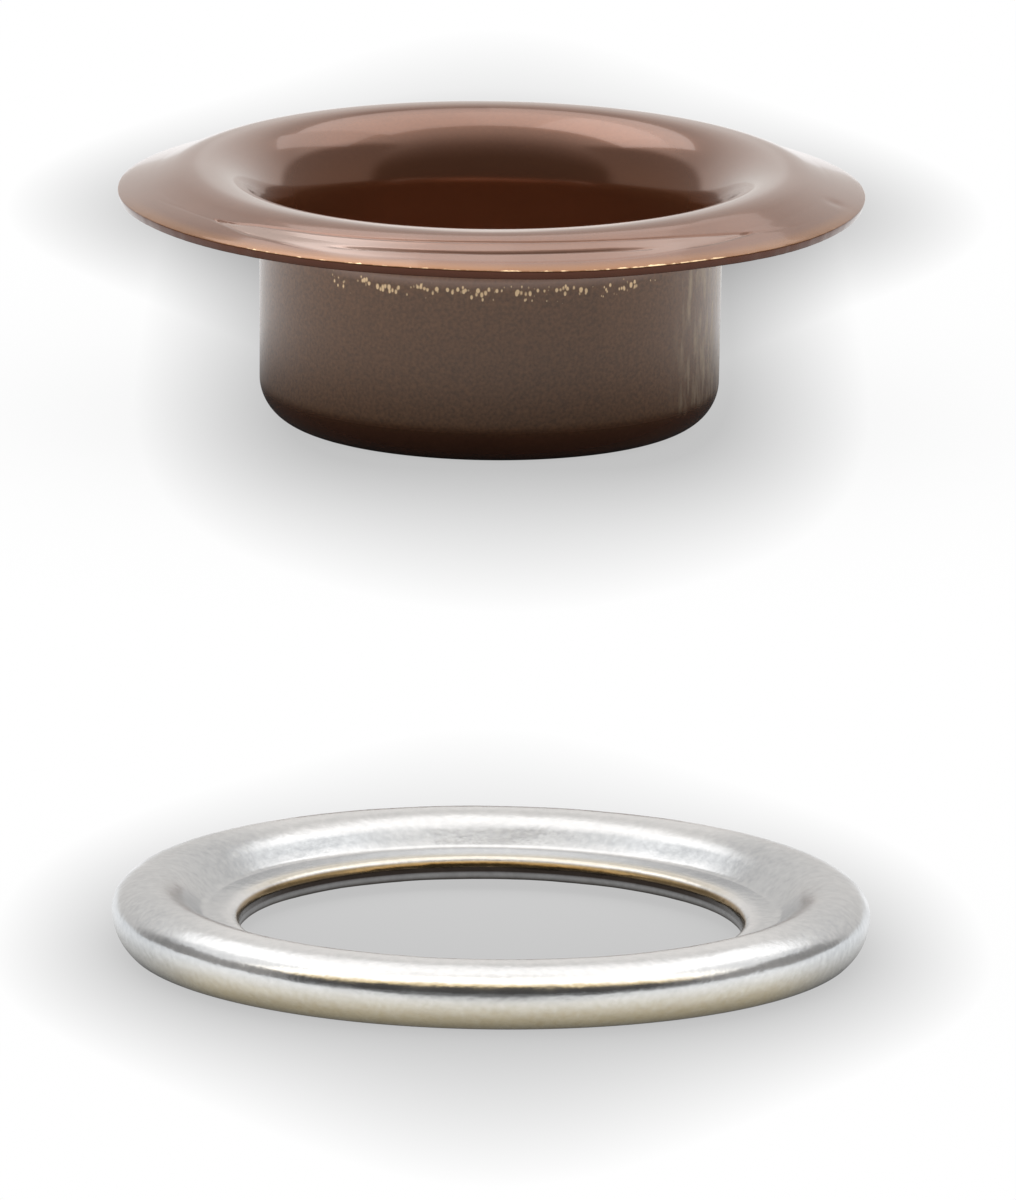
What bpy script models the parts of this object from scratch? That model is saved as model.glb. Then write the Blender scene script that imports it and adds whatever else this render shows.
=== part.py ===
"""A pressed-metal grommet for canvas and tarpaulin: a lacquered eyelet and its washer.

The eyelet is one drawn shell: a wide flange that rolls over a crown into a barrel. The
washer is one pressed ring: a domed annulus with a stepped ledge and a short collar round
its hole. In use the barrel goes up through the cloth and the washer's hole, and a setting
die rolls the barrel's end over the ledge. Here they lie as supplied, apart and unset, both
on the same surface. Units are metres, +Z is up, and the origin is at the middle of the
pair, on the surface that they stand on.
"""

import math

import bpy
from mathutils import Vector

MM = 0.001

# The sheet that both pieces are pressed from
EYELET_SHEET = 0.30 * MM
WASHER_SHEET = 0.30 * MM
CUT_EDGE_RADIUS = 0.04 * MM

# The eyelet, from its barrel outwards: the flange comes out 23.5 mm across
EYELET_HEIGHT = 8.1 * MM
BARREL_DIAMETER = 14.6 * MM
BARREL_END_DIAMETER = 14.4 * MM
BARREL_CORNER_RADIUS = 1.35 * MM
BARREL_LAND_WIDTH = 0.35 * MM
THROAT_RADIUS = 1.9 * MM
FLANGE_WIDTH = 2.55 * MM
RIM_BAND_WIDTH = 1.15 * MM
CREASE_RADIUS = 0.5 * MM
FLANGE_SLOPE = math.radians(22.0)
RIM_BAND_SLOPE = math.radians(20.0)

# The washer, from its hole outwards: it comes out 22.6 mm across
BARREL_CLEARANCE = 0.2 * MM
COLLAR_END_HEIGHT = 0.33 * MM
COLLAR_CORNER_RADIUS = 0.36 * MM
LEDGE_WIDTH = 1.1 * MM
LEDGE_HEIGHT = 1.05 * MM
LEDGE_RISE = 0.05 * MM
LEDGE_FILLET_RADIUS = 0.35 * MM
CROWN_SLOPE = math.radians(45.0)
CROWN_RADIUS = 1.45 * MM
WASHER_HEIGHT = 1.95 * MM
SHOULDER_WIDTH = 1.2 * MM
WAIST_HEIGHT = 1.1 * MM
FOOT_INSET = 0.5 * MM

# Between the flange's rim and the washer's
PAIR_GAP = 49.9 * MM

# Smoothness of the curved stretches
TURN_STEPS = 64
DEGREES_PER_STEP = 13.0

EYELET_COLOUR = (0.118, 0.062, 0.042, 1.0)
WASHER_COLOUR = (0.66, 0.65, 0.62, 1.0)


def clear_scene():
    for old in list(bpy.data.objects):
        bpy.data.objects.remove(old, do_unlink=True)


def metal(name, colour, roughness, metallic):
    material = bpy.data.materials.new(name)
    material.use_nodes = True
    shader = material.node_tree.nodes["Principled BSDF"]
    shader.inputs["Base Color"].default_value = colour
    shader.inputs["Roughness"].default_value = roughness
    shader.inputs["Metallic"].default_value = metallic
    return material


def elliptic_arc(centre, radii, start, end):
    """Points of an arc in the profile's plane, with angles in radians from +R towards +Z."""
    steps = max(1, round(math.degrees(abs(end - start)) / DEGREES_PER_STEP))
    turn = (end - start) / steps
    angles = [start + turn * step for step in range(steps + 1)]
    return [centre + Vector((radii[0] * math.cos(a), radii[1] * math.sin(a))) for a in angles]


def rounded_corner(before, corner, after, radius):
    """The arc of this radius that touches both straight runs of a corner."""
    back = (before - corner).normalized()
    ahead = (after - corner).normalized()
    half_angle = back.angle(ahead) / 2
    reach = radius / math.tan(half_angle)
    centre = corner + (back + ahead).normalized() * (radius / math.sin(half_angle))
    first = corner + back * reach - centre
    last = corner + ahead * reach - centre
    start = math.atan2(first.y, first.x)
    turn = math.remainder(math.atan2(last.y, last.x) - start, math.tau)
    return elliptic_arc(centre, (radius, radius), start, start + turn)


def rounded_path(corners):
    """A run through (point, radius) corners, with an arc at each corner but the two ends."""
    points = [corners[0][0]]
    for (before, _), (corner, radius), (after, _) in zip(corners, corners[1:], corners[2:]):
        points += rounded_corner(before, corner, after, radius)
    return points + [corners[-1][0]]


def without_repeats(points):
    kept = [points[0]]
    for point in points[1:]:
        if (point - kept[-1]).length > CUT_EDGE_RADIUS / 10:
            kept.append(point)
    return kept


def pressed_sheet(name, profile, thickness, material, place, collection):
    """A sheet turned from its outer face's profile, which runs down that face, and thickened inwards."""
    points = [(point.x, 0.0, point.y) for point in without_repeats(profile)]
    mesh = bpy.data.meshes.new(name)
    mesh.from_pydata(points, [(i, i + 1) for i in range(len(points) - 1)], [])
    mesh.materials.append(material)
    piece = bpy.data.objects.new(name, mesh)
    piece.location = place
    collection.objects.link(piece)

    turned = piece.modifiers.new("turned", "SCREW")
    turned.axis = "Z"
    turned.angle = math.tau
    turned.steps = TURN_STEPS
    turned.render_steps = TURN_STEPS
    turned.use_merge_vertices = True
    turned.merge_threshold = CUT_EDGE_RADIUS / 10

    sheet = piece.modifiers.new("sheet", "SOLIDIFY")
    sheet.thickness = thickness
    sheet.offset = -1.0
    sheet.use_even_offset = True

    edges = piece.modifiers.new("cut edges", "BEVEL")
    edges.width = CUT_EDGE_RADIUS
    edges.segments = 1
    edges.limit_method = "ANGLE"
    edges.angle_limit = math.radians(60.0)

    return piece


def shade_smooth(piece):
    """Rounds are smooth and cut edges are crisp once the modifiers are on the mesh."""
    graph = bpy.context.evaluated_depsgraph_get()
    finished = bpy.data.meshes.new_from_object(piece.evaluated_get(graph))
    finished.name = piece.name
    piece.modifiers.clear()
    piece.data = finished
    finished.shade_smooth()
    finished.set_sharp_from_angle(angle=math.radians(40.0))


def flange_radius():
    return BARREL_DIAMETER / 2 + THROAT_RADIUS + FLANGE_WIDTH


def eyelet_profile():
    """The underside: in along the flange, round the throat, down the barrel, in at its end."""
    wall = BARREL_DIAMETER / 2
    barrel_end = BARREL_END_DIAMETER / 2
    pierced_hole = barrel_end - BARREL_CORNER_RADIUS - BARREL_LAND_WIDTH
    # The rim is cut square to the sheet, so its upper corner reaches further out than this face
    rim = flange_radius() - EYELET_SHEET * math.sin(RIM_BAND_SLOPE)
    crease = rim - RIM_BAND_WIDTH

    # The crown is the throat's highest point, and the flange falls away from it
    throat = Vector((wall + THROAT_RADIUS, EYELET_HEIGHT - EYELET_SHEET - THROAT_RADIUS))
    leaving = throat + THROAT_RADIUS * Vector((math.sin(FLANGE_SLOPE), math.cos(FLANGE_SLOPE)))
    crease_height = leaving.y - (crease - leaving.x) * math.tan(FLANGE_SLOPE)
    rim_height = crease_height - RIM_BAND_WIDTH * math.tan(RIM_BAND_SLOPE)
    throat_corner = leaving.y + (leaving.x - wall) * math.tan(FLANGE_SLOPE)

    return rounded_path(
        [
            (Vector((rim, rim_height)), 0.0),
            (Vector((crease, crease_height)), CREASE_RADIUS),
            (Vector((wall, throat_corner)), THROAT_RADIUS),
            (Vector((barrel_end, 0.0)), BARREL_CORNER_RADIUS),
            (Vector((pierced_hole, 0.0)), 0.0),
        ]
    )


def washer_stations():
    """Radii from the hole outwards: hole, foot of the crown's slope, its top, crown, waist."""
    hole = BARREL_DIAMETER / 2 + BARREL_CLEARANCE
    slope_foot = hole + LEDGE_WIDTH
    slope_top = slope_foot + (WASHER_HEIGHT - LEDGE_HEIGHT) / math.tan(CROWN_SLOPE)
    crown = slope_top + CROWN_RADIUS * math.tan(CROWN_SLOPE / 2)
    return hole, slope_foot, slope_top, crown, crown + SHOULDER_WIDTH


def washer_profile():
    """The top: up the collar, out along the ledge, over the crown and down to the foot."""
    hole, slope_foot, slope_top, crown, waist = washer_stations()
    inside = rounded_path(
        [
            (Vector((hole, COLLAR_END_HEIGHT)), 0.0),
            (Vector((hole, LEDGE_HEIGHT - LEDGE_RISE)), COLLAR_CORNER_RADIUS),
            (Vector((slope_foot, LEDGE_HEIGHT)), LEDGE_FILLET_RADIUS),
            (Vector((slope_top, WASHER_HEIGHT)), CROWN_RADIUS),
            (Vector((crown, WASHER_HEIGHT)), 0.0),
        ]
    )
    shoulder = elliptic_arc(
        Vector((crown, WAIST_HEIGHT)),
        (SHOULDER_WIDTH, WASHER_HEIGHT - WAIST_HEIGHT),
        math.pi / 2,
        0.0,
    )
    # Below the waist a circle brings the skirt in by the foot's inset over the waist's height
    skirt_radius = (FOOT_INSET**2 + WAIST_HEIGHT**2) / (2 * FOOT_INSET)
    skirt = elliptic_arc(
        Vector((waist - skirt_radius, WAIST_HEIGHT)),
        (skirt_radius, skirt_radius),
        0.0,
        -math.asin(WAIST_HEIGHT / skirt_radius),
    )
    return inside + shoulder + skirt


def main():
    clear_scene()
    collection = bpy.data.collections.new("grommet eyelet")
    bpy.context.scene.collection.children.link(collection)

    # The washer lies in front of the eyelet, and the origin is halfway along the pair
    flange = flange_radius()
    waist = washer_stations()[-1]
    half_length = flange + PAIR_GAP / 2 + waist
    pieces = [
        pressed_sheet(
            "eyelet",
            eyelet_profile(),
            EYELET_SHEET,
            metal("brown lacquer", EYELET_COLOUR, 0.3, 0.2),
            (0.0, half_length - flange, 0.0),
            collection,
        ),
        pressed_sheet(
            "washer",
            washer_profile(),
            WASHER_SHEET,
            metal("nickel plate", WASHER_COLOUR, 0.25, 1.0),
            (0.0, waist - half_length, 0.0),
            collection,
        ),
    ]
    bpy.context.view_layer.update()
    for piece in pieces:
        shade_smooth(piece)


main()
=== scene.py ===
"""Dresses a packed grommet pair: a brown lacquered eyelet and its nickel-plated washer.

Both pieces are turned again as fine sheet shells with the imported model's own sizes, with the
small things that pressing, lacquering and tumbling leave: a trough and a tool mark on the
flange, a worn rim, specks where the lacquer has flaked, scuffs and grain. Each is lit by its
own panels, as in a product booth with pale walls and a pale floor.
"""

import logging
import math
from dataclasses import dataclass
from enum import Enum

import bmesh
import bpy
from mathutils import Matrix, Vector, noise


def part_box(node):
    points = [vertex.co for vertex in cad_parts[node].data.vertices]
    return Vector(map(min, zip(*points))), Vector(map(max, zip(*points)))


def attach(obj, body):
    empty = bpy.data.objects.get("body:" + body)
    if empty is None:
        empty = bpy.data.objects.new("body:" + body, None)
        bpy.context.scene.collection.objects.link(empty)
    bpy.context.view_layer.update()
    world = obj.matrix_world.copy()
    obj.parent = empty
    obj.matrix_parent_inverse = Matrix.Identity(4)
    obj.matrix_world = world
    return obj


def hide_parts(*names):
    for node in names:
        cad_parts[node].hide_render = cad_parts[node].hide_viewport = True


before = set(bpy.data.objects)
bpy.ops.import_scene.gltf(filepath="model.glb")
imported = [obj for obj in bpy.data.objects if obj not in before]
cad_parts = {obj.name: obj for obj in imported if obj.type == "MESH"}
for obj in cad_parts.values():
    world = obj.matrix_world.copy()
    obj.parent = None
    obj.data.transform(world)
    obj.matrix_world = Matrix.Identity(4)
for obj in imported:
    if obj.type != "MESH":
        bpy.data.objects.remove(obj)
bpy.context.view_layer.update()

MM = 0.001
BODY = "root"
CORNER_STEPS = 4
UNIT = (0.0, 1.0)
Table = tuple[tuple[float, float], ...]
Span = tuple[object, object]
Tree = bpy.types.NodeTree
Node = bpy.types.Node
Socket = bpy.types.NodeSocket

log = logging.getLogger("grommet")


def linear(code: str) -> tuple[float, float, float, float]:
    """Turns an sRGB hex colour into the linear colour that a socket takes.

    Args:
        code: The colour, as in "#6e4a37".

    Returns:
        Red, green, blue and a full alpha, in linear light.
    """
    shares = [int(code[i : i + 2], 16) / 255 for i in (1, 3, 5)]
    red, green, blue = (s / 12.92 if s <= 0.04045 else ((s + 0.055) / 1.055) ** 2.4 for s in shares)
    return red, green, blue, 1.0


def ease(value: float, start: float, end: float) -> float:
    """Rises smoothly from 0 to 1.

    Args:
        value: Where to read the rise.
        start: Where it leaves 0. It may lie above end, for a fall.
        end: Where it reaches 1.

    Returns:
        The height of the rise there.
    """
    share = min(1.0, max(0.0, (value - start) / (end - start)))
    return share * share * (3 - 2 * share)


def along(table: Table, place: float) -> float:
    """Reads a value between the stations of a table.

    Args:
        table: Places, rising, each with its value.
        place: Where to read it.

    Returns:
        The value there, or the end's value past an end.
    """
    if place <= table[0][0]:
        return table[0][1]
    for (start, first), (end, last) in zip(table, table[1:]):
        if place <= end:
            return first + (last - first) * (place - start) / (end - start)
    return table[-1][1]


def band(value: float, rise: tuple[float, float], fall: tuple[float, float]) -> float:
    """Rises smoothly from 0 to 1 over one stretch and falls back over another.

    Args:
        value: Where to read it.
        rise: Where it leaves 0, and where it reaches 1.
        fall: Where it is back at 0, and where it leaves 1.

    Returns:
        The height there.
    """
    return ease(value, *rise) * ease(value, *fall)


def add_node(
    tree: Tree,
    kind: str,
    inputs: dict[str | int, object] | None = None,
    **settings: object,
) -> Node:
    """Adds a node with its settings and links.

    Args:
        tree: The node tree that it goes into.
        kind: The node's type, without Blender's "ShaderNode" in front.
        inputs: What goes into each socket: a constant, or an output to link. A node stands for
            its first output.
        **settings: The node's own properties.

    Returns:
        The new node.
    """
    node = tree.nodes.new("ShaderNode" + kind)
    for name, value in settings.items():
        setattr(node, name, value)
    for name, value in (inputs or {}).items():
        if isinstance(value, Node):
            value = value.outputs[0]
        if isinstance(value, Socket):
            tree.links.new(value, node.inputs[name])
        else:
            node.inputs[name].default_value = value
    return node


def maths(tree: Tree, operation: str, *values: object, clamp: bool = False) -> Node:
    """Adds a node that works out a number from constants, outputs or other nodes."""
    inputs = dict(enumerate(values))
    return add_node(tree, "Math", inputs, operation=operation, use_clamp=clamp)


def remap(
    tree: Tree,
    value: object,
    start: Span = UNIT,
    end: Span = UNIT,
    kind: str = "LINEAR",
) -> Node:
    """Adds a node that carries a value from one span to another, and keeps it within that."""
    inputs = dict(enumerate((value, *start, *end)))
    return add_node(tree, "MapRange", inputs, interpolation_type=kind)


def clouded(tree: Tree, place: object, per_mm: float, detail: float) -> Node:
    """Adds a pattern of clouds, by how many of them lie along a mm."""
    return add_node(tree, "TexNoise", {"Vector": place, "Scale": per_mm, "Detail": detail})


def begin_finish(name: str) -> tuple[bpy.types.Material, Tree, Socket]:
    """Makes a material, and gives a point's place in mm so that its scales are per mm.

    Args:
        name: The material's name.

    Returns:
        The material, its nodes, and a point's place on the piece in mm.
    """
    material = bpy.data.materials.new(name)
    material.use_nodes = True
    tree = material.node_tree
    where = add_node(tree, "TexCoord").outputs["Object"]
    place = add_node(tree, "VectorMath", {0: where, "Scale": 1 / MM}, operation="SCALE")
    return material, tree, place.outputs[0]


class Mask(Enum):
    """What the pieces' points carry, from 0 to 1, for the finishes to read."""

    BARE = "bare"
    FLAKED = "flaked"
    SCUFFED = "scuffed"
    # The eyelet barrel's dull wall, and painted shade on the washer's ends and at the foot of its inner
    # slope
    DULL_AND_SHADE = "dull"
    GILT = "gilt"
    # Painted light: a lighter, redder brown inside the eyelet's throat and barrel
    PAINTED_INNER_LIGHT = "inner"
    CUT = "cut"
    # Painted highlights: the pale glow in the flange's trough, the line on the crown and the line under
    # the flange
    PAINTED_HIGHLIGHT = "painted_highlight"
    SHEARED = "sheared"
    TORN = "torn"
    # A painted warm reflection on the washer's lower skirt and on the back of its collar's lip
    WARM_REFLECTION = "skirt"
    POOLED = "pooled"


def carried(tree: Tree, mask: Mask) -> Socket:
    """Reads what a piece's points carry of a mask, in its finish."""
    return add_node(tree, "Attribute", attribute_name=mask.value).outputs["Fac"]


@dataclass(frozen=True)
class Bend:
    """A corner on a sheet's path, in radius and height, and the radius it is bent to."""

    radius: float
    height: float
    bend: float = 0.0

    @property
    def point(self) -> Vector:
        """The corner in the section's plane."""
        return Vector((self.radius, self.height))


def arc(centre: Vector, radii: tuple[float, float], start: float, end: float) -> list[Vector]:
    """Points along a circle or an upright ellipse.

    Args:
        centre: Its centre in the section's plane.
        radii: Its half width and half height.
        start: The first angle in radians, from outwards to up.
        end: The last angle.

    Returns:
        The points, one for every 4 degrees or so.
    """
    steps = max(2, math.ceil(abs(end - start) / math.radians(4.0)))
    angles = [start + (end - start) * step / steps for step in range(steps + 1)]
    return [centre + Vector((radii[0] * math.cos(a), radii[1] * math.sin(a))) for a in angles]


def bent(path: list[Bend]) -> list[Vector]:
    """Bends a path of straight runs at its corners.

    Args:
        path: The corners, with the two ends first and last.

    Returns:
        The path's points, with an arc at each inner corner.
    """
    points = [path[0].point]
    for before, corner, after in zip(path, path[1:], path[2:]):
        back = (before.point - corner.point).normalized()
        ahead = (after.point - corner.point).normalized()
        half = back.angle(ahead) / 2
        reach = corner.bend / math.tan(half)
        middle = corner.point + (back + ahead).normalized() * (corner.bend / math.sin(half))
        first = corner.point + back * reach - middle
        last = corner.point + ahead * reach - middle
        start = math.atan2(first.y, first.x)
        turn = math.remainder(math.atan2(last.y, last.x) - start, math.tau)
        points += arc(middle, (corner.bend, corner.bend), start, start + turn)
    return points + [path[-1].point]


@dataclass(frozen=True)
class Fineness:
    """How short a section's runs are, and the stretch of radii where they are shorter."""

    plain: float = 0.25 * MM
    fine: float = 0.038 * MM
    inner: float = 0.0
    outer: float = 0.0

    def at(self, radius: float) -> float:
        """The longest run allowed at a radius."""
        return self.fine if self.inner < radius < self.outer else self.plain


def filled(points: list[Vector], fineness: Fineness) -> list[Vector]:
    """Cuts long runs into short ones and drops repeated points.

    Args:
        points: The path.
        fineness: How long a run may be.

    Returns:
        The path with more points, or fewer where two fell together.
    """
    path = [points[0].copy()]
    for point in points[1:]:
        while (point - path[-1]).length > fineness.at(path[-1].x):
            path.append(path[-1] + (point - path[-1]).normalized() * fineness.at(path[-1].x))
        if (point - path[-1]).length > 0.01 * MM:
            path.append(point.copy())
    return path


@dataclass
class PressedSheet:
    """A piece turned from one sheet: the path of one of its faces, thickened to its right."""

    name: str
    slot: str
    material: bpy.types.Material
    sheet: float = 0.30 * MM
    cut_edge: float = 0.045 * MM
    turn_steps: int = 400
    fineness: Fineness = Fineness()

    def face(self) -> list[Vector]:
        """The path of the driving face, in radius and height."""
        raise NotImplementedError

    def worn(self, place: Vector, outward: Vector, azimuth: float) -> Vector:
        """Moves a point of the section as tools and handling did.

        Args:
            place: The point, in radius and height.
            outward: The way that its face looks.
            azimuth: Its turn about the axis, from the front towards +X.

        Returns:
            The point's place.
        """
        return place

    def masks(self, place: Vector, outward: Vector, azimuth: float) -> dict[Mask, float]:
        """Fills the masks at a point. The arguments are those of worn."""
        return {}

    def section(self) -> list[Vector]:
        """Thickens the path into the sheet's closed outline.

        Returns:
            The outline's points, round both faces and both cut edges.
        """
        path = filled(self.face(), self.fineness)
        starts, ends = self.edge(path[1], path[0]), self.edge(path[-2], path[-1])
        path[0] += (path[1] - path[0]).normalized() * self.cut_edge
        path[-1] += (path[-2] - path[-1]).normalized() * self.cut_edge
        far = []
        for i, place in enumerate(path):
            way = path[min(i + 1, len(path) - 1)] - path[max(i - 1, 0)]
            far.append(place + self.right_of(way) * self.sheet)
        return path + ends + far[::-1] + [self.mirror(p, path[0], far[0]) for p in starts[::-1]]

    @staticmethod
    def right_of(way: Vector) -> Vector:
        """The unit vector to the right of a direction in the section's plane."""
        return Vector((way.y, -way.x)).normalized()

    @staticmethod
    def mirror(point: Vector, near: Vector, far: Vector) -> Vector:
        """Turns a point about the middle of a cut, since a path's start is cut the other way."""
        across = (far - near).normalized()
        offset = point - near
        flipped = offset - across * (2 * offset.dot(across))
        return near + flipped

    def edge(self, inside: Vector, end: Vector) -> list[Vector]:
        """Rounds the two corners of a cut.

        Args:
            inside: The path's point before its end.
            end: The path's end.

        Returns:
            The points over the cut, from this face to the other.
        """
        way = (end - inside).normalized()
        across = self.right_of(way)
        first = end + (across - way) * self.cut_edge
        second = end + across * (self.sheet - self.cut_edge) - way * self.cut_edge
        points = []
        for centre, start, turned in ((first, -across, way), (second, way, across)):
            for step in range(CORNER_STEPS + 1):
                angle = math.pi / 2 * step / CORNER_STEPS
                ray = start * math.cos(angle) + turned * math.sin(angle)
                points.append(centre + ray * self.cut_edge)
        return points[1:-1]

    def build(self, place: Vector) -> bpy.types.Object:
        """Turns the section about the piece's axis.

        Args:
            place: Where the piece's axis meets the floor.

        Returns:
            The piece, dressed, riding on the body and standing for its node.
        """
        outline = self.section()
        count = len(outline)
        grid = bmesh.new()
        layers = {mask: grid.verts.layers.float.new(mask.value) for mask in Mask}
        rings = []
        for step in range(self.turn_steps):
            azimuth = math.tau * step / self.turn_steps
            ring = []
            for i, point in enumerate(outline):
                outward = -self.right_of(outline[(i + 1) % count] - outline[i - 1])
                moved = self.worn(point, outward, azimuth)
                corner = (moved.x * math.sin(azimuth), -moved.x * math.cos(azimuth), moved.y)
                vertex = grid.verts.new(corner)
                for mask, value in self.masks(point, outward, azimuth).items():
                    vertex[layers[mask]] = value
                ring.append(vertex)
            rings.append(ring)
        for step, ring in enumerate(rings):
            ahead = rings[(step + 1) % self.turn_steps]
            for i in range(count):
                j = (i + 1) % count
                grid.faces.new((ring[i], ahead[i], ahead[j], ring[j])).smooth = True
        bmesh.ops.recalc_face_normals(grid, faces=grid.faces)
        mesh = bpy.data.meshes.new(self.name)
        grid.to_mesh(mesh)
        grid.free()
        mesh.materials.append(self.material)
        piece = bpy.data.objects.new(self.name + "_shell", mesh)
        piece.location = place
        bpy.context.scene.collection.objects.link(piece)
        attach(piece, BODY)
        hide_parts(self.name)
        log.info("%s: %d points in its section, %d faces", piece.name, count, len(mesh.polygons))
        return piece


def on_axis(node: str) -> Vector:
    """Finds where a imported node's turning axis meets the floor.

    Args:
        node: The node's name.

    Returns:
        The point on the floor.
    """
    low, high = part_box(node)
    return Vector(((low.x + high.x) / 2, (low.y + high.y) / 2, 0.0))


@dataclass
class Eyelet(PressedSheet):
    """The lacquered half: a flange that rolls over a crown into a drawn barrel."""

    height: float = 8.1 * MM
    barrel: float = 14.6 * MM
    barrel_end: float = 14.4 * MM
    barrel_corner: float = 1.35 * MM
    barrel_land: float = 0.35 * MM
    throat: float = 1.9 * MM
    flange: float = 2.55 * MM
    rim_band: float = 1.15 * MM
    crease_bend: float = 0.5 * MM
    slope: float = math.radians(22.0)
    rim_slope: float = math.radians(20.0)
    fineness: Fineness = Fineness(inner=9.9 * MM, outer=11.3 * MM)
    # The press left a shallow trough along the front of the flange, a lens in shape. These are
    # its inner and outer lines and the tool mark between them: degrees from the front, and mm
    inner_line: Table = (
        (-72.0, 10.88), (-65.0, 10.73), (-53.5, 10.70), (-49.0, 10.59), (-45.0, 10.43),
        (-38.0, 10.30), (-26.0, 10.21), (-20.0, 10.17), (-10.0, 10.09), (0.0, 10.06),
        (10.0, 10.10), (20.0, 10.17), (27.0, 10.26), (34.0, 10.38), (40.0, 10.53),
        (45.0, 10.68), (48.0, 10.80), (60.0, 11.06),
    )
    outer_line: Table = (
        (-53.5, 10.70), (-49.0, 10.80), (-45.0, 10.97), (-38.0, 11.09), (-26.0, 11.35),
        (-20.0, 11.40), (-10.0, 11.31), (0.0, 11.25), (20.0, 11.20), (27.0, 11.14),
        (34.0, 10.99), (40.0, 10.94), (45.0, 10.84), (48.0, 10.80),
    )
    tool_mark: Table = (
        (-28.0, 10.92), (-20.0, 10.77), (-10.0, 10.69), (0.0, 10.66),
        (10.0, 10.63), (20.0, 10.66), (27.0, 10.78),
    )
    lens_ends: tuple[float, float] = (-53.5, 48.0)
    trough_depth: float = 0.012 * MM
    # Where the painted highlight line on the front of the crown's inner side ends: degrees from the front,
    # and mm
    crown_highlight_edge: Table = (
        (0.0, 9.42), (25.0, 9.18), (45.0, 8.80), (60.0, 8.45), (75.0, 7.90), (90.0, 7.30),
    )
    # The flange sits a little askew on the barrel: its crown stands higher at the back and right
    crown_rise: float = 0.10 * MM
    crown_sink: float = 0.085 * MM
    crown_lean: float = 0.075 * MM
    rim_lean: float = 0.04 * MM
    rim_wave: float = 0.030 * MM
    rim_ragged: float = 0.030 * MM
    dent_at: tuple[float, float] = (11.0 * MM, math.radians(78.0))
    dent_radius: float = 0.28 * MM
    dent_depth: float = 0.028 * MM
    # Heights and radii in mm: the flaked neck, the painted highlight line at the face of the flange's
    # shoulder, the dark ring on the crown's inner side
    flaked_height: tuple[float, float] = (5.48, 5.80)
    shoulder_highlight_height: float = 5.90
    dark_ring_radius: float = 8.60

    @property
    def rim(self) -> float:
        """The flange's radius."""
        return self.barrel / 2 + self.throat + self.flange

    def face(self) -> list[Vector]:
        """The underside: in along the flange, round the throat, down the barrel, in at its end."""
        wall, end = self.barrel / 2, self.barrel_end / 2
        rim = self.rim - self.sheet * math.sin(self.rim_slope)
        crease = rim - self.rim_band
        middle = Vector((wall + self.throat, self.height - self.sheet - self.throat))
        leaving = middle + self.throat * Vector((math.sin(self.slope), math.cos(self.slope)))
        crease_height = leaving.y - (crease - leaving.x) * math.tan(self.slope)
        corner_height = leaving.y + (leaving.x - wall) * math.tan(self.slope)
        path = [
            Bend(rim, crease_height - self.rim_band * math.tan(self.rim_slope)),
            Bend(crease, crease_height, self.crease_bend),
            Bend(wall, corner_height, self.throat),
            Bend(end, 0.0, self.barrel_corner),
            Bend(end - self.barrel_corner - self.barrel_land, 0.0),
        ]
        return bent(path)

    def in_lens(self, radius: float, azimuth: float) -> float:
        """Says how far into the trough a place is.

        Args:
            radius: Its distance from the axis in mm.
            azimuth: Its turn about the axis, from the front.

        Returns:
            0 outside the two lines, rising to 1 well inside.
        """
        turn = math.degrees(math.remainder(azimuth, math.tau))
        first, last = self.lens_ends
        if not first < turn < last:
            return 0.0
        inner, outer = along(self.inner_line, turn), along(self.outer_line, turn)
        middle, half = (inner + outer) / 2, (outer - inner) / 2 + 0.01
        return ease(abs(radius - middle), half, 0.7 * half)

    def grooves(self, radius: float, azimuth: float) -> float:
        """Cuts the trough's two lines and the tool mark.

        Args:
            radius: A place's distance from the axis in mm.
            azimuth: Its turn about the axis, from the front.

        Returns:
            How deep the place lies in them.
        """
        turn = math.degrees(math.remainder(azimuth, math.tau))
        first, last = self.lens_ends
        tips = max(ease(turn, first + 16.0, first + 5.0), ease(turn, last - 16.0, last - 5.0))
        inside = 1.0 if first < turn < last else 0.0
        ends = band(turn, (-78.0, -64.0), (66.0, 54.0))
        marked = band(turn, (-29.0, -21.0), (30.0, 20.0))
        depth = 0.0
        for line, deep, width in (
            (self.inner_line, (0.005 + 0.017 * inside) * ends, 0.044),
            (self.outer_line, (0.008 + 0.020 * tips) * inside, 0.050),
            (self.tool_mark, 0.072 * marked, 0.060),
        ):
            away = (radius - along(line, turn)) / width
            depth += deep * MM * math.exp(-away * away)
        return depth

    def dent(self, place: Vector, azimuth: float) -> float:
        """Shapes the dent on the flange's right side. It is 1 at its middle."""
        away = Vector((place.x - self.dent_at[0], place.x * (azimuth - self.dent_at[1])))
        return math.exp(-((away.length / self.dent_radius) ** 2))

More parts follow.
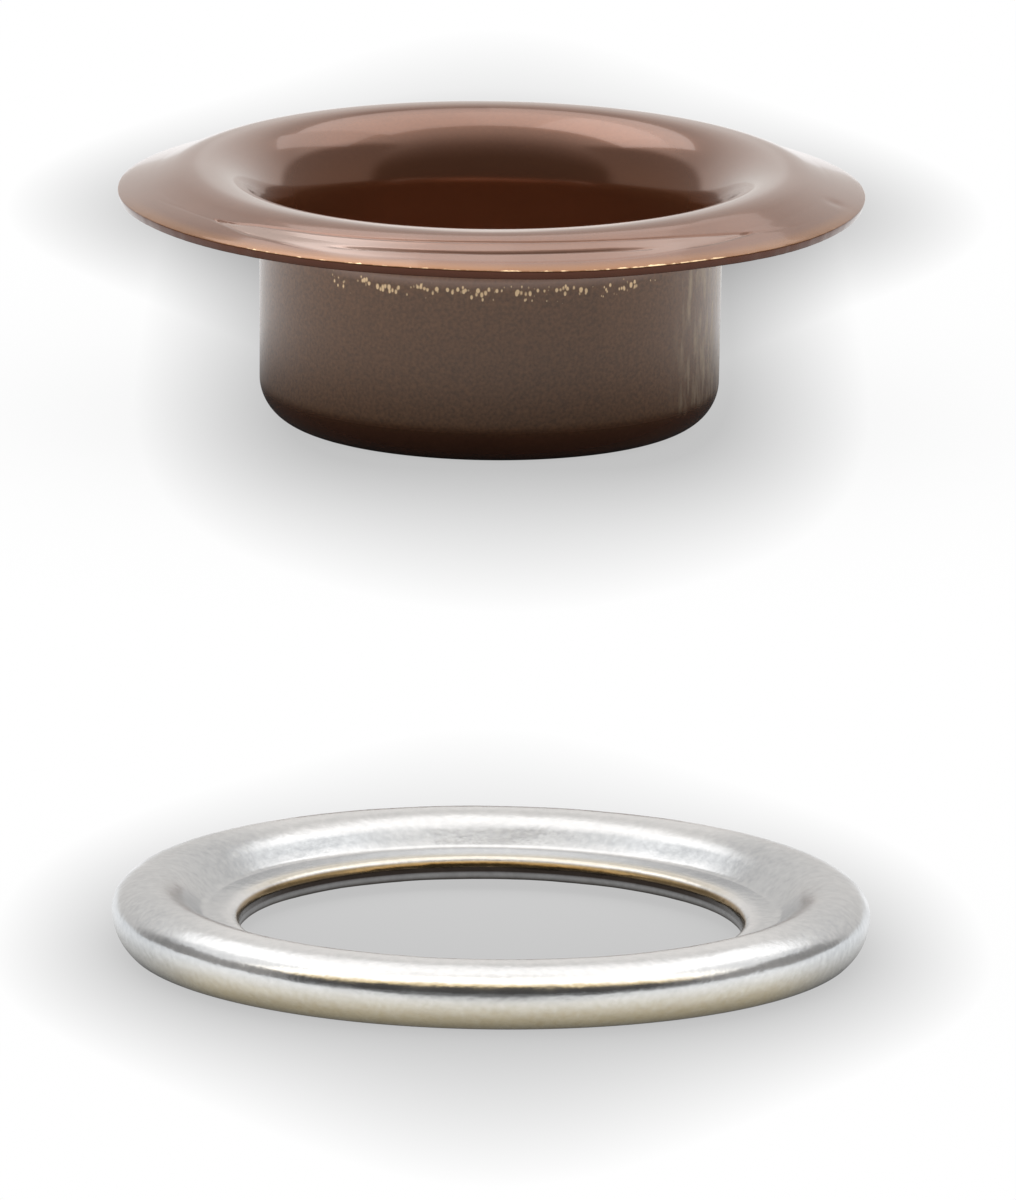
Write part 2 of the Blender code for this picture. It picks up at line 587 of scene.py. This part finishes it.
    def worn(self, place: Vector, outward: Vector, azimuth: float) -> Vector:
        """Adds the flange's lean, the trough, its lines, the rim's unevenness and a dent."""
        radius, height = (size / MM for size in place)
        throat_wall, neck, rim = 7.6, 5.5, self.rim / MM
        if radius < throat_wall or height < neck:
            return place
        around = Vector((math.sin(azimuth), -math.cos(azimuth), 0.0))
        front, back = max(0.0, -around.y), max(0.0, around.y)
        crown = band(radius, (throat_wall, 9.0), (11.2, 9.6))
        near_rim = ease(radius, 10.3, rim)
        lift = crown * (self.crown_rise * back - self.crown_sink * front)
        side = around.x * ease(front, 0.0, 0.6)
        lift += (self.crown_lean * crown - self.rim_lean * near_rim) * side
        lift += self.rim_wave * near_rim * noise.noise(around * 2.3)
        if outward.y > 0.3:
            lift -= self.trough_depth * self.in_lens(radius, azimuth)
            lift -= self.grooves(radius, azimuth)
            lift -= self.dent_depth * self.dent(place, azimuth)
        ragged = self.rim_ragged * ease(radius, 11.5, rim) * noise.noise(around * 42.0)
        ragged *= 0.2 + 0.8 * ease(front, 0.2, 0.7)
        return place + Vector((ragged, lift))

    def masks(self, place: Vector, outward: Vector, azimuth: float) -> dict[Mask, float]:
        """Marks the worn rim, the flaked neck, the scuffed side, the barrel's dull wall, the painted
        highlights and the painted light inside.
        """
        radius, height = (size / MM for size in place)
        turn = math.remainder(azimuth, math.tau)
        aside = abs(turn)
        rim = self.rim / MM

        # The barrel's outside, which lies more than 6.9 mm from the axis
        outside = 1.0 if outward.x > 0.2 and radius > 6.9 else 0.0
        low, high = self.flaked_height
        neck = band(height, (low - 0.10, low), (high + 0.10, high))
        foot = ease(height, 0.8, 0.2)
        at_front = 1.0 - ease(aside, math.radians(38.0), math.radians(50.0))
        wall = outside * band(height, (6.6, 5.6), (0.9, 1.35))
        scuffs = band(turn, (math.radians(50.0), math.radians(60.0)), (1.6, 1.4))
        # A painted highlight line round the barrel's front, just under the flange's shoulder
        shoulder_highlight = outside * at_front * ease(abs(height - self.shoulder_highlight_height), 0.10, 0.04)

        # The flange's top and its cut rim
        top = ease(outward.y, 0.1, 0.7)
        worn_side = 0.80 + 0.20 * band(turn, (0.25, 0.40), (0.70, 0.55))
        worn_side -= 0.15 * ease(aside, 0.65, 0.85)
        top_edge = top * ease(radius, rim - 0.26, rim - 0.06)
        dented = 0.8 * top * self.dent(place, azimuth) ** 3
        # A painted highlight line on the crown's inner side, along the front
        end = along(self.crown_highlight_edge, math.degrees(aside))
        crown_highlight = band(radius, (end - 1.00, end - 0.85), (end, end - 0.15))
        crown_highlight *= ease(outward.y, 0.0, 0.5) * (1.0 - ease(aside, 1.2, 1.5))
        # The painted highlight in the trough is faint in the middle, strongest on the left and weaker on
        # the right
        lens = 0.08 + 0.50 * ease(turn, -0.2, -0.5) + 0.22 * ease(turn, 0.3, 0.6)
        # A dark ring on the crown's inner side, in the cut edge's tone, darker on the left and missing at
        # the back
        dark_ring = top * ease(abs(radius - self.dark_ring_radius), 0.14, 0.03) * ease(aside, 2.5, 2.7)
        cut = ease(radius, rim - 0.16, rim - 0.06) * ease(outward.y, 0.6, 0.2)
        painted_highlight = top * lens * self.in_lens(radius, azimuth)
        return {
            Mask.BARE: max(top_edge * worn_side, dented),
            Mask.GILT: top * ease(radius, rim - 0.55, rim - 0.1) * (1.0 - ease(aside, 1.1, 1.5)),
            Mask.PAINTED_HIGHLIGHT: max(painted_highlight, 0.9 * crown_highlight, 0.3 * shoulder_highlight),
            Mask.CUT: max(cut, dark_ring * (0.5 if turn < 0 else 0.25)),
            Mask.FLAKED: outside * max(neck * at_front, 0.35 * foot),
            Mask.SCUFFED: scuffs * wall,
            Mask.DULL_AND_SHADE: wall,
            Mask.POOLED: ease(radius, 9.5, 9.1) * ease(outward.x, 0.35, 0.15),
            # Painted light: the inside of the throat and barrel gets a lighter, redder brown
            Mask.PAINTED_INNER_LIGHT: ease(height, 7.5, 6.2) if outward.x < 0 else 0.0,
        }


@dataclass
class Washer(PressedSheet):
    """The plated half: a domed ring with a stepped ledge and a short collar at its hole."""

    hole: float = 7.5 * MM
    collar_end: float = 0.33 * MM
    collar_bend: float = 0.36 * MM
    ledge: float = 1.1 * MM
    ledge_height: float = 1.05 * MM
    ledge_rise: float = 0.05 * MM
    ledge_bend: float = 0.35 * MM
    crown_slope: float = math.radians(45.0)
    crown_bend: float = 1.45 * MM
    height: float = 1.95 * MM
    shoulder: float = 1.2 * MM
    waist: float = 1.1 * MM
    foot_inset: float = 0.5 * MM
    long_wave: float = 0.010 * MM
    short_wave: float = 0.004 * MM

    def face(self) -> list[Vector]:
        """The top: up the collar, out along the ledge, over the crown and down to the foot."""
        slope_foot = self.hole + self.ledge
        slope_top = slope_foot + (self.height - self.ledge_height) / math.tan(self.crown_slope)
        crown = slope_top + self.crown_bend * math.tan(self.crown_slope / 2)
        path = [
            Bend(self.hole, self.collar_end),
            Bend(self.hole, self.ledge_height - self.ledge_rise, self.collar_bend),
            Bend(slope_foot, self.ledge_height, self.ledge_bend),
            Bend(slope_top, self.height, self.crown_bend),
            Bend(crown, self.height),
        ]
        dome = (self.shoulder, self.height - self.waist)
        skirt = (self.foot_inset**2 + self.waist**2) / (2 * self.foot_inset)
        middle = Vector((crown + self.shoulder - skirt, self.waist))
        foot_angle = -math.asin(self.waist / skirt)
        return (
            bent(path)
            + arc(Vector((crown, self.waist)), dome, math.pi / 2, 0.0)
            + arc(middle, (skirt, skirt), 0.0, foot_angle)
        )

    def worn(self, place: Vector, outward: Vector, azimuth: float) -> Vector:
        """Adds the tumbled dome's faint waves."""
        around = Vector((math.sin(azimuth), -math.cos(azimuth), place.y / self.height))
        long_wave, short_wave = noise.noise(around * 5.0), noise.noise(around * 17.0)
        wave = self.long_wave * long_wave + self.short_wave * short_wave
        return place + outward * wave * ease(place.y, 0.0, 0.3 * MM)

    def masks(self, place: Vector, outward: Vector, azimuth: float) -> dict[Mask, float]:
        """Marks the collar's bands, from the rolled lip to the torn end, a painted warm reflection on the
        skirt and the back of the lip, and painted shade at the ends and at the foot of the inner slope.
        """
        out, height = (place.x - self.hole) / MM, place.y / MM
        side, behind = abs(math.sin(azimuth)), ease(math.cos(azimuth), -0.2, -0.6)
        inside = 1.0 if out < 0.3 and outward.x < 0.6 else 0.0
        torn = inside * ease(height, 0.55, 0.49)
        # A warm tone painted on the lower skirt and on the back of the collar's lip: a painted reflection
        skirt = ease(out, 3.1, 3.5) * ease(height, 1.3, 0.2)
        lip = behind * ease(height, 0.90, 0.96) * ease(out, 0.60, 0.25)
        # Painted shade: a darker grey at the left and right ends, and in the crease at the foot of the
        # inner slope at the back
        ends = 0.75 * ease(side, 0.70 - 0.10 * behind, 0.98 - 0.10 * behind) * ease(out, 0.1, 0.7)
        foot = behind * ease(abs(out - 1.42), 0.30, 0.12) * (0.36 + 0.45 * ease(side, 0.15, 0.45))
        return {
            Mask.DULL_AND_SHADE: max(ends, foot),
            Mask.GILT: inside * band(height, (0.70, 0.76), (0.94, 0.85)),
            Mask.SHEARED: inside * ease(height, 0.80, 0.72) * (1.0 - torn),
            Mask.TORN: torn,
            Mask.WARM_REFLECTION: max(skirt, 0.42 * lip),
        }


@dataclass(frozen=True)
class BrownLacquer:
    """Stoving lacquer on drawn brass: a deep brown body under a glassy skin.

    The eye gets two reflections from it, a sharp pale one off the skin and a soft brown one
    from below, and bright grains of brass where the skin has gone.
    """

    body: str = "#7d523c"
    wall: str = "#7a5638"
    # The lighter, redder brown of the painted light inside the throat and barrel
    inner: str = "#9a6648"
    cut: str = "#5a2a0e"
    gilt: str = "#94602f"
    # The pale tone of the painted highlights
    painted_highlight: str = "#c9b2a8"
    brass: str = "#e6c8a0"
    scuff: str = "#cdbb9f"
    # Patterns by their scale: flakes 0.13 mm apart in patches of 1 mm, chips of 0.4 mm along the
    # rim, a grain of 0.1 mm, clouds of 1.2 mm, and scratches 0.3 mm wide and 1.2 mm long
    flakes_per_mm: float = 7.5
    patches_per_mm: float = 1.1
    chips_per_mm: float = 2.6
    grain_per_mm: float = 9.0
    clouds_per_mm: float = 0.8
    scratches_per_mm: tuple[float, float, float] = (3.4, 3.4, 0.80)

    def make(self) -> bpy.types.Material:
        """Makes the finish.

        Returns:
            The material.
        """
        material, tree, place = begin_finish("stoved brown lacquer on brass")
        bare, scuffed = self.flaked(tree, place), self.scuffed(tree, place)
        dull, inner, gilt, painted_highlight, cut, pooled = (
            carried(tree, mask)
            for mask in (Mask.DULL_AND_SHADE, Mask.PAINTED_INNER_LIGHT, Mask.GILT, Mask.PAINTED_HIGHLIGHT, Mask.CUT, Mask.POOLED)
        )
        cloud = clouded(tree, place, self.clouds_per_mm, 3.0)
        grain = clouded(tree, place, self.grain_per_mm, 3.0)
        # Each level goes from its value on the plain lacquer to its value where the mask is full
        share = remap(tree, dull, end=(0.05, 0.26))
        satin = remap(tree, dull, end=(0.50, 0.30))
        haze_and_shade = remap(tree, dull, end=(0.17, 0.42))
        strength = remap(tree, dull, end=(0.04, 0.60))
        pool = remap(tree, pooled, end=(0.42, 0.85))

        mottled = add_node(tree, "MixRGB", {0: 0.10, 1: linear(self.body), 2: cloud}, blend_type="OVERLAY")
        walled = add_node(tree, "MixRGB", {0: dull, 1: mottled, 2: linear(self.wall)})
        spread = remap(tree, grain, (0.30, 0.70))
        grained = add_node(tree, "MixRGB", {0: share, 1: walled, 2: spread}, blend_type="OVERLAY")
        colour = grained
        # Painted light is among these tones: the lighter inside and the pale painted highlights
        tones = (self.inner, self.gilt, self.painted_highlight, self.cut, self.scuff, self.brass)
        for part, tone in zip((inner, gilt, painted_highlight, cut, scuffed, bare), tones):
            colour = add_node(tree, "MixRGB", {0: part, 1: colour, 2: linear(tone)})

        # The skin is thickest where the lacquer pooled in the throat, and thin where it is worn
        metal = remap(tree, bare, end=(satin, 0.9))
        skin = remap(tree, dull, end=(pool, 0.55))
        worn = maths(tree, "MAXIMUM", bare, scuffed)
        thinned = maths(tree, "MAXIMUM", worn, cut)
        coat = remap(tree, thinned, end=(skin, 0.1))
        bump = add_node(tree, "Bump", {"Height": grain, "Strength": strength, "Distance": 0.01 * MM})
        shader = tree.nodes["Principled BSDF"]
        for name, node in (
            ("Base Color", colour),
            ("Metallic", metal),
            ("Roughness", haze_and_shade),
            ("Coat Weight", coat),
            ("Normal", bump),
        ):
            tree.links.new(node.outputs[0], shader.inputs[name])
        shader.inputs["Coat Roughness"].default_value = 0.05
        return material

    def flaked(self, tree: Tree, place: Socket) -> Node:
        """Shows brass in grains at the neck and along the worn rim.

        Args:
            tree: The material's nodes.
            place: A point's place in mm.

        Returns:
            How bare a point is.
        """
        upright = add_node(tree, "VectorMath", {0: place, 1: (1.0, 1.0, 0.6)}, operation="MULTIPLY")
        grains = add_node(tree, "TexVoronoi", {"Vector": upright, "Scale": self.flakes_per_mm})
        patches = clouded(tree, place, self.patches_per_mm, 1.0)
        chips = clouded(tree, place, self.chips_per_mm, 4.0)
        neck, edge = carried(tree, Mask.FLAKED), carried(tree, Mask.BARE)
        crowd = remap(tree, patches, (0.26, 0.50))
        amount = maths(tree, "MULTIPLY", neck, crowd)
        reach = maths(tree, "MULTIPLY", amount, 0.60)
        dots = remap(tree, grains, (reach, 0.0), (0.0, 3.0))
        chance = maths(tree, "MULTIPLY", edge, chips)
        rim = remap(tree, chance, (0.40, 0.50))
        return maths(tree, "MAXIMUM", dots, rim, clamp=True)

    def scuffed(self, tree: Tree, place: Socket) -> Node:
        """Draws upright scratches on the barrel's scuffed side.

        Args:
            tree: The material's nodes.
            place: A point's place in mm.

        Returns:
            How rubbed a point is.
        """
        upright = add_node(tree, "VectorMath", {0: place, 1: self.scratches_per_mm}, operation="MULTIPLY")
        fine = remap(tree, clouded(tree, upright, 1.0, 4.0), (0.45, 0.78))
        return maths(tree, "MULTIPLY", fine, carried(tree, Mask.SCUFFED))


@dataclass(frozen=True)
class NickelPlate:
    """Tumbled nickel plate on pressed steel: a pale warm grey with a satin bloom.

    Its grain breaks the booth's edges into fine teeth. It carries painted shade, a darker grey, at the
    piece's left and right ends and at the foot of its inner slope at the back, and a painted warm
    reflection on the lower skirt and the back of the collar's lip. The plate thins to a gilt tone on
    the collar's lip, and the sheared and torn end of the collar shows dark steel.
    """

    plate: str = "#d6d8da"
    # The darker grey of the painted shade, and the warm tone of the painted reflection
    haze_and_shade: str = "#aeb2b6"
    warm: str = "#ddd0b0"
    gilt: str = "#8f7a58"
    steel: str = "#2f2925"
    tear: str = "#55524f"
    # A grain of 0.2 mm, and a bloom in patches of 1.4 mm
    grain_per_mm: float = 4.5
    blooms_per_mm: float = 0.7

    def make(self) -> bpy.types.Material:
        """Makes the finish.

        Returns:
            The material.
        """
        material, tree, place = begin_finish("tumbled nickel plate")
        layer = linear(self.plate)
        # Painted shade and a painted warm reflection are among these tones
        for mask, tone in (
            (Mask.WARM_REFLECTION, self.warm),
            (Mask.DULL_AND_SHADE, self.haze_and_shade),
            (Mask.SHEARED, self.steel),
            (Mask.GILT, self.gilt),
            (Mask.TORN, self.tear),
        ):
            layer = add_node(tree, "MixRGB", {0: carried(tree, mask), 1: layer, 2: linear(tone)})

        # The torn end is rough, and the plate round it is satin
        grain = clouded(tree, place, self.grain_per_mm, 4.0)
        bloom = clouded(tree, place, self.blooms_per_mm, 2.0)
        speckle = add_node(tree, "MixRGB", {0: 0.22, 1: layer, 2: grain}, blend_type="OVERLAY")
        satin = remap(tree, bloom, (0.3, 0.7), (0.18, 0.27))
        rough = remap(tree, carried(tree, Mask.TORN), end=(satin, 0.6))
        bump = add_node(tree, "Bump", {"Height": grain, "Strength": 0.45, "Distance": 0.02 * MM})
        shader = tree.nodes["Principled BSDF"]
        for name, node in (("Base Color", speckle), ("Roughness", rough), ("Normal", bump)):
            tree.links.new(node.outputs[0], shader.inputs[name])
        shader.inputs["Metallic"].default_value = 1.0
        return material


@dataclass(frozen=True)
class Viewpoint:
    """Where the photograph was taken from, found from the outlines of both pieces."""

    target: Vector = Vector((-0.128 * MM, -1.08 * MM, 0.0))
    azimuth: float = math.radians(0.196)
    elevation: float = math.radians(12.8)
    distance: float = 1.35
    roll: float = math.radians(0.72)
    picture: tuple[int, int] = (1016, 1200)
    target_at: tuple[float, float] = (485.4, 682.1)
    pixels_per_mm: float = 32.69
    film: float = 36.0

    def add_camera(self) -> None:
        """Adds the camera and makes it the scene's own."""
        slant, lift = math.cos(self.elevation), math.sin(self.elevation)
        aside, out = math.sin(self.azimuth), math.cos(self.azimuth)
        back = Vector((-aside * slant, -out * slant, lift))
        across = Vector((out, -aside, 0.0))
        upright = back.cross(across)
        right = across * math.cos(self.roll) + upright * math.sin(self.roll)
        up = upright * math.cos(self.roll) - across * math.sin(self.roll)
        place = self.target + back * self.distance

        half_width, half_height = self.picture[0] / 2, self.picture[1] / 2
        off_right = (half_width - self.target_at[0]) / self.pixels_per_mm * MM
        off_up = (self.target_at[1] - half_height) / self.pixels_per_mm * MM
        ahead = (self.target + right * off_right + up * off_up - place).normalized()
        up = (up - ahead * up.dot(ahead)).normalized()

        lens = bpy.data.cameras.new("long lens")
        lens.sensor_fit = "AUTO"
        lens.sensor_width = self.film
        lens.lens = self.film * self.pixels_per_mm * (self.distance / MM) / self.picture[1]
        lens.clip_start = 0.1
        lens.clip_end = 20.0
        camera = bpy.data.objects.new("viewpoint", lens)
        turned = Matrix((ahead.cross(up), up, -ahead)).transposed()
        camera.matrix_world = Matrix.Translation(place) @ turned.to_4x4()
        bpy.context.scene.collection.objects.link(camera)
        bpy.context.scene.camera = camera
        log.info("camera: %.0f mm lens at %.2f m", lens.lens, self.distance)


@dataclass(frozen=True)
class Shade:
    """A soft oval of shade on the floor, laid out upright as the viewer's eye sees it, in mm.

    A length towards the back counts for little, since the eye looks along the floor. The depth
    and the reach are each given at the front and at the back.
    """

    middle: tuple[float, float]
    half: tuple[float, float]
    squareness: float
    depth: tuple[float, float]
    reach: tuple[float, float]


@dataclass(frozen=True)
class Softbox:
    """A glowing panel that hangs over one piece and lights nothing else.

    Its size, and its middle's place from the foot of the piece's axis, are in millimetres.
    """

    name: str
    middle: Vector
    size: tuple[float, float]
    glow: float
    colour: str = "#ffffff"

    def hang(self, piece: bpy.types.Object) -> None:
        """Hangs the panel over its piece.

        Args:
            piece: The piece that it lights.
        """
        lamp = bpy.data.lights.new(self.name, "AREA")
        lamp.shape = "RECTANGLE"
        lamp.size, lamp.size_y = (length * MM for length in self.size)
        lamp.energy = self.glow * math.pi * lamp.size * lamp.size_y
        lamp.color = linear(self.colour)[:3]
        panel = bpy.data.objects.new(self.name, lamp)
        panel.location = piece.location + self.middle * MM
        panel.visible_camera = False
        bpy.context.scene.collection.objects.link(panel)
        lit = bpy.data.collections.new(self.name + " lights")
        lit.objects.link(piece)
        panel.light_linking.receiver_collection = lit


@dataclass(frozen=True)
class Booth:
    """The product booth: a pale floor, panels overhead, a pale back and dim sides."""

    floor_side: float = 8.0
    floor_gap: float = 0.02 * MM
    floor_tone: str = "#e6e6e6"
    shade_reach: float = 22.0 * MM
    view_slope: float = math.sin(Viewpoint.elevation)
    card: str = "#fffaf5"
    side_glow: float = 0.36
    brightest: float = 3.0
    # How bright the booth is, by the angle from the front horizon over the top to the back
    arch: Table = (
        (0.0, 1.0), (0.6, 1.0), (0.9, 0.07), (40.0, 0.08), (51.0, 0.15), (62.0, 0.30),
        (73.0, 0.62), (85.0, 1.12), (98.0, 1.28), (112.0, 1.25), (128.0, 0.98), (135.0, 0.84),
        (142.0, 0.88), (150.0, 0.98), (162.0, 0.94), (175.0, 0.86), (180.0, 0.90),
    )

    def shades(self) -> list[tuple[Vector, list[Shade]]]:
        """Lays out the shade round each piece.

        Returns:
            For each piece, where its axis meets the floor, and its ovals of shade.
        """
        flange, barrel, dome, hole = 11.75, 7.3, 11.3, 7.6
        slope = self.view_slope
        steep = math.sqrt(1 - slope**2)
        eyelet = [
            Shade((0.3, 7.4 * steep), (flange, flange * slope), 2.0, (0.41, 0.23), (4.6, 3.3)),
            Shade((0.4, 2.9), (barrel, 4.5), 4.0, (0.39, 0.28), (4.5, 3.7)),
        ]
        washer = [
            Shade((0.0, 0.7), (dome, dome * slope + 0.7), 2.3, (0.40, 0.17), (4.3, 2.6)),
            Shade((0.0, 0.4), (hole, hole * slope), 2.0, (0.10, 0.19), (0.7, 0.7)),
        ]
        return [(on_axis("eyelet"), eyelet), (on_axis("washer"), washer)]

    def add_floor(self) -> None:
        """Lays the floor."""
        half = self.floor_side / 2
        corners = [(-half, -half, 0), (half, -half, 0), (half, half, 0), (-half, half, 0)]
        mesh = bpy.data.meshes.new("floor")
        mesh.from_pydata(corners, [], [(0, 1, 2, 3)])
        mesh.materials.append(self.floor_finish())
        floor = bpy.data.objects.new("floor", mesh)
        floor.location.z = -self.floor_gap
        bpy.context.scene.collection.objects.link(floor)

    def shaded(self, tree: Tree, place: Socket, axis: Vector, shade: Shade) -> Node:
        """Draws one oval of shade.

        Args:
            tree: The floor's nodes.
            place: A point's place on the floor.
            axis: Where the piece's axis meets the floor.
            shade: The oval.

        Returns:
            The light that it leaves, from 0 to 1.
        """
        half = [1 / (length * MM) for length in shade.half]
        shift = (-axis.x - shade.middle[0] * MM, -axis.y * self.view_slope - shade.middle[1] * MM, 0.0)
        seen = add_node(
            tree,
            "VectorMath",
            {0: place, 1: (1.0, self.view_slope, 0.0), 2: shift},
            operation="MULTIPLY_ADD",
        )
        far = add_node(tree, "VectorMath", {0: seen}, operation="LENGTH")
        shares = add_node(tree, "VectorMath", {0: seen, 1: (*half, 0.0)}, operation="MULTIPLY")
        flat = add_node(tree, "SeparateXYZ", {0: shares})
        sizes = [maths(tree, "ABSOLUTE", flat.outputs[n]) for n in "XY"]
        powers = [maths(tree, "POWER", size, shade.squareness) for size in sizes]
        total = maths(tree, "ADD", powers[0], powers[1])
        edge = maths(tree, "POWER", total, -1 / shade.squareness)
        past = maths(tree, "SUBTRACT", 1.0, edge, clamp=True)
        away = maths(tree, "MULTIPLY", past, far.outputs["Value"])
        behind = remap(tree, flat.outputs["Y"], (-1.0, 1.0), kind="SMOOTHSTEP")
        depth = remap(tree, behind, end=shade.depth)
        reach = remap(tree, behind, end=tuple(length * MM for length in shade.reach))
        dark = remap(tree, away, (0.0, reach), (depth, 0.0))
        return maths(tree, "SUBTRACT", 1.0, dark)

    def mirrored(self, tree: Tree, place: Socket, open_sky: Socket) -> Node:
        """Draws the floor that the pieces mirror: dark by the barrel and far before the washer.

        Args:
            tree: The floor's nodes.
            place: A point's place on the floor.
            open_sky: How open a point is to the sky, from 0 to 1.

        Returns:
            How bright the point is in the pieces.
        """
        barrel = on_axis("eyelet")
        off = add_node(tree, "VectorMath", {0: place, 1: barrel}, operation="DISTANCE")
        by_barrel = (7.4 * MM, 22.0 * MM)
        under = remap(tree, off.outputs["Value"], by_barrel, (0.11, 1.0), "SMOOTHSTEP")
        depth = add_node(tree, "SeparateXYZ", {0: place}).outputs["Y"]
        beyond = remap(tree, depth, (barrel.y, barrel.y + 12.0 * MM))
        before = remap(tree, depth, (-55.5 * MM, -49.5 * MM), (0.12, 1.2))
        hidden = maths(tree, "POWER", open_sky, 1.25)
        level = maths(tree, "MAXIMUM", under, beyond)
        for share in (hidden, before):
            level = maths(tree, "MULTIPLY", level, share)
        return level

    def floor_finish(self) -> bpy.types.Material:
        """Makes the pale floor, which keeps the pieces' soft shade.

        Returns:
            The floor's material.
        """
        material = bpy.data.materials.new("pale card")
        material.use_nodes = True
        tree = material.node_tree
        tree.nodes.clear()
        place = add_node(tree, "NewGeometry").outputs["Position"]
        closeness = add_node(tree, "AmbientOcclusion", {"Distance": self.shade_reach}, samples=4)
        open_sky = closeness.outputs["AO"]
        light = remap(tree, open_sky, end=(0.84, 1.0))
        for axis, shades in self.shades():
            for shade in shades:
                left = self.shaded(tree, place, axis, shade)
                light = maths(tree, "MULTIPLY", light, left)

        # The eye sees the painted shade, the pieces mirror a floor of their own, and the rest of
        # the light falls on plain card
        rays = add_node(tree, "LightPath")
        camera = rays.outputs["Is Camera Ray"]
        mirrored = self.mirrored(tree, place, open_sky)
        level = add_node(tree, "Mix", {"Factor": camera, "A": mirrored, "B": light})
        lit = add_node(tree, "Emission", {"Color": level})
        card = add_node(tree, "BsdfDiffuse", {"Color": linear(self.floor_tone)})
        seen = camera
        for kind in ("Is Glossy Ray", "Is Transmission Ray"):
            seen = maths(tree, "ADD", seen, rays.outputs[kind], clamp=True)
        both = add_node(tree, "MixShader", {0: seen, 1: card, 2: lit})
        add_node(tree, "OutputMaterial", {"Surface": both})
        return material

    def light(self) -> None:
        """Lights the booth from all round."""
        world = bpy.data.worlds.new("booth")
        world.use_nodes = True
        bpy.context.scene.world = world
        tree = world.node_tree
        tree.nodes.clear()
        way = add_node(tree, "TexCoord")
        parts = add_node(tree, "SeparateXYZ", {0: way.outputs["Generated"]})
        across, back, high = (parts.outputs[name] for name in "XYZ")
        ahead = maths(tree, "MULTIPLY", back, -1.0)
        over = maths(tree, "ARCTAN2", high, ahead)
        share = maths(tree, "DIVIDE", over, math.pi)
        ramp = add_node(tree, "ValToRGB", {0: share})
        stops = ramp.color_ramp.elements
        while len(stops) < len(self.arch):
            stops.new(1.0)
        for stop, (angle, level) in zip(stops, self.arch):
            stop.position = angle / 180
            stop.color = (*[level / self.brightest] * 3, 1.0)
        middle = maths(tree, "MULTIPLY", ramp.outputs["Color"], self.brightest)

        # The dim sides begin where the back and the panels end, and end where the dark front begins
        aside = maths(tree, "ABSOLUTE", across)
        inset = maths(tree, "MULTIPLY_ADD", back, -0.27, aside)
        fore = maths(tree, "MULTIPLY_ADD", aside, 0.5, back)
        past_back = remap(tree, inset, (0.50, 0.62), kind="SMOOTHSTEP")
        past_front = remap(tree, fore, (-0.06, 0.10), kind="SMOOTHSTEP")
        sides = maths(tree, "MULTIPLY", past_back, past_front)
        walled = add_node(tree, "Mix", {"Factor": sides, "A": middle, "B": self.side_glow})
        # The horizon itself is plain white, so that the floor runs into it
        level = maths(tree, "ABSOLUTE", high)
        horizon = remap(tree, level, (0.010, 0.014))
        glow = add_node(tree, "Mix", {"Factor": horizon, "A": 1.0, "B": walled})
        tint = add_node(tree, "MixRGB", {0: horizon, 1: linear("#ffffff"), 2: linear(self.card)})
        shone = add_node(tree, "Background", {"Color": tint, "Strength": glow})
        add_node(tree, "OutputWorld", {"Surface": shone})

    def hang_panels(self, eyelet: bpy.types.Object, washer: bpy.types.Object) -> None:
        """Hangs a panel over each piece, since each was lit on its own.

        Args:
            eyelet: The lacquered piece.
            washer: The plated piece.
        """
        # The eyelet's panel is brightest at its left front. It is cut into strips from the left,
        # in a front and a back row, each with its middle, its depth and its strips' glow
        width, left, high = 8.0, -30.0, 53.0
        rows = (
            ("front", 22.0, 24.0, (1.70, 1.95, 1.95, 1.25, 1.05, 1.10)),
            ("back", 42.0, 16.0, (1.30, 1.30, 1.20, 1.02, 1.00, 1.08)),
        )
        for step in range(6):
            x = left + width * (step + 0.5)
            for row, middle, depth, glows in rows:
                strip = Vector((x, middle, high))
                Softbox(f"eyelet {row} {step + 1}", strip, (width, depth), glows[step]).hang(eyelet)
        Softbox("eyelet right", Vector((26.0, 37.0, high)), (16.0, 46.0), 0.74).hang(eyelet)
        for panel in (
            Softbox("washer front", Vector((0, -33, 60)), (240, 30), 1.6, "#fff9ee"),
            Softbox("washer lip", Vector((0, -60, 60)), (240, 24), 1.1, "#ffe0a0"),
            Softbox("washer top", Vector((0, 19, 60)), (28, 46), 0.3),
            Softbox("washer left inner", Vector((-21, 14, 60)), (14, 56), 0.3),
            Softbox("washer right inner", Vector((21, 14, 60)), (14, 56), 0.3),
            Softbox("washer left outer", Vector((-74, 10, 60)), (92, 100), 0.7),
            Softbox("washer right outer", Vector((74, 10, 60)), (92, 100), 0.7),
        ):
            panel.hang(washer)


def main() -> None:
    """Builds the camera, the booth and both pieces."""
    logging.basicConfig(level=logging.INFO, format="%(name)s: %(message)s")
    bpy.context.scene.view_settings.view_transform = "Standard"
    Viewpoint().add_camera()
    booth = Booth()
    booth.add_floor()
    booth.light()
    eyelet = Eyelet("eyelet", "brown_lacquer", BrownLacquer().make()).build(on_axis("eyelet"))
    washer = Washer("washer", "nickel_plate", NickelPlate().make()).build(on_axis("washer"))
    booth.hang_panels(eyelet, washer)


if __name__ == "__main__":
    main()
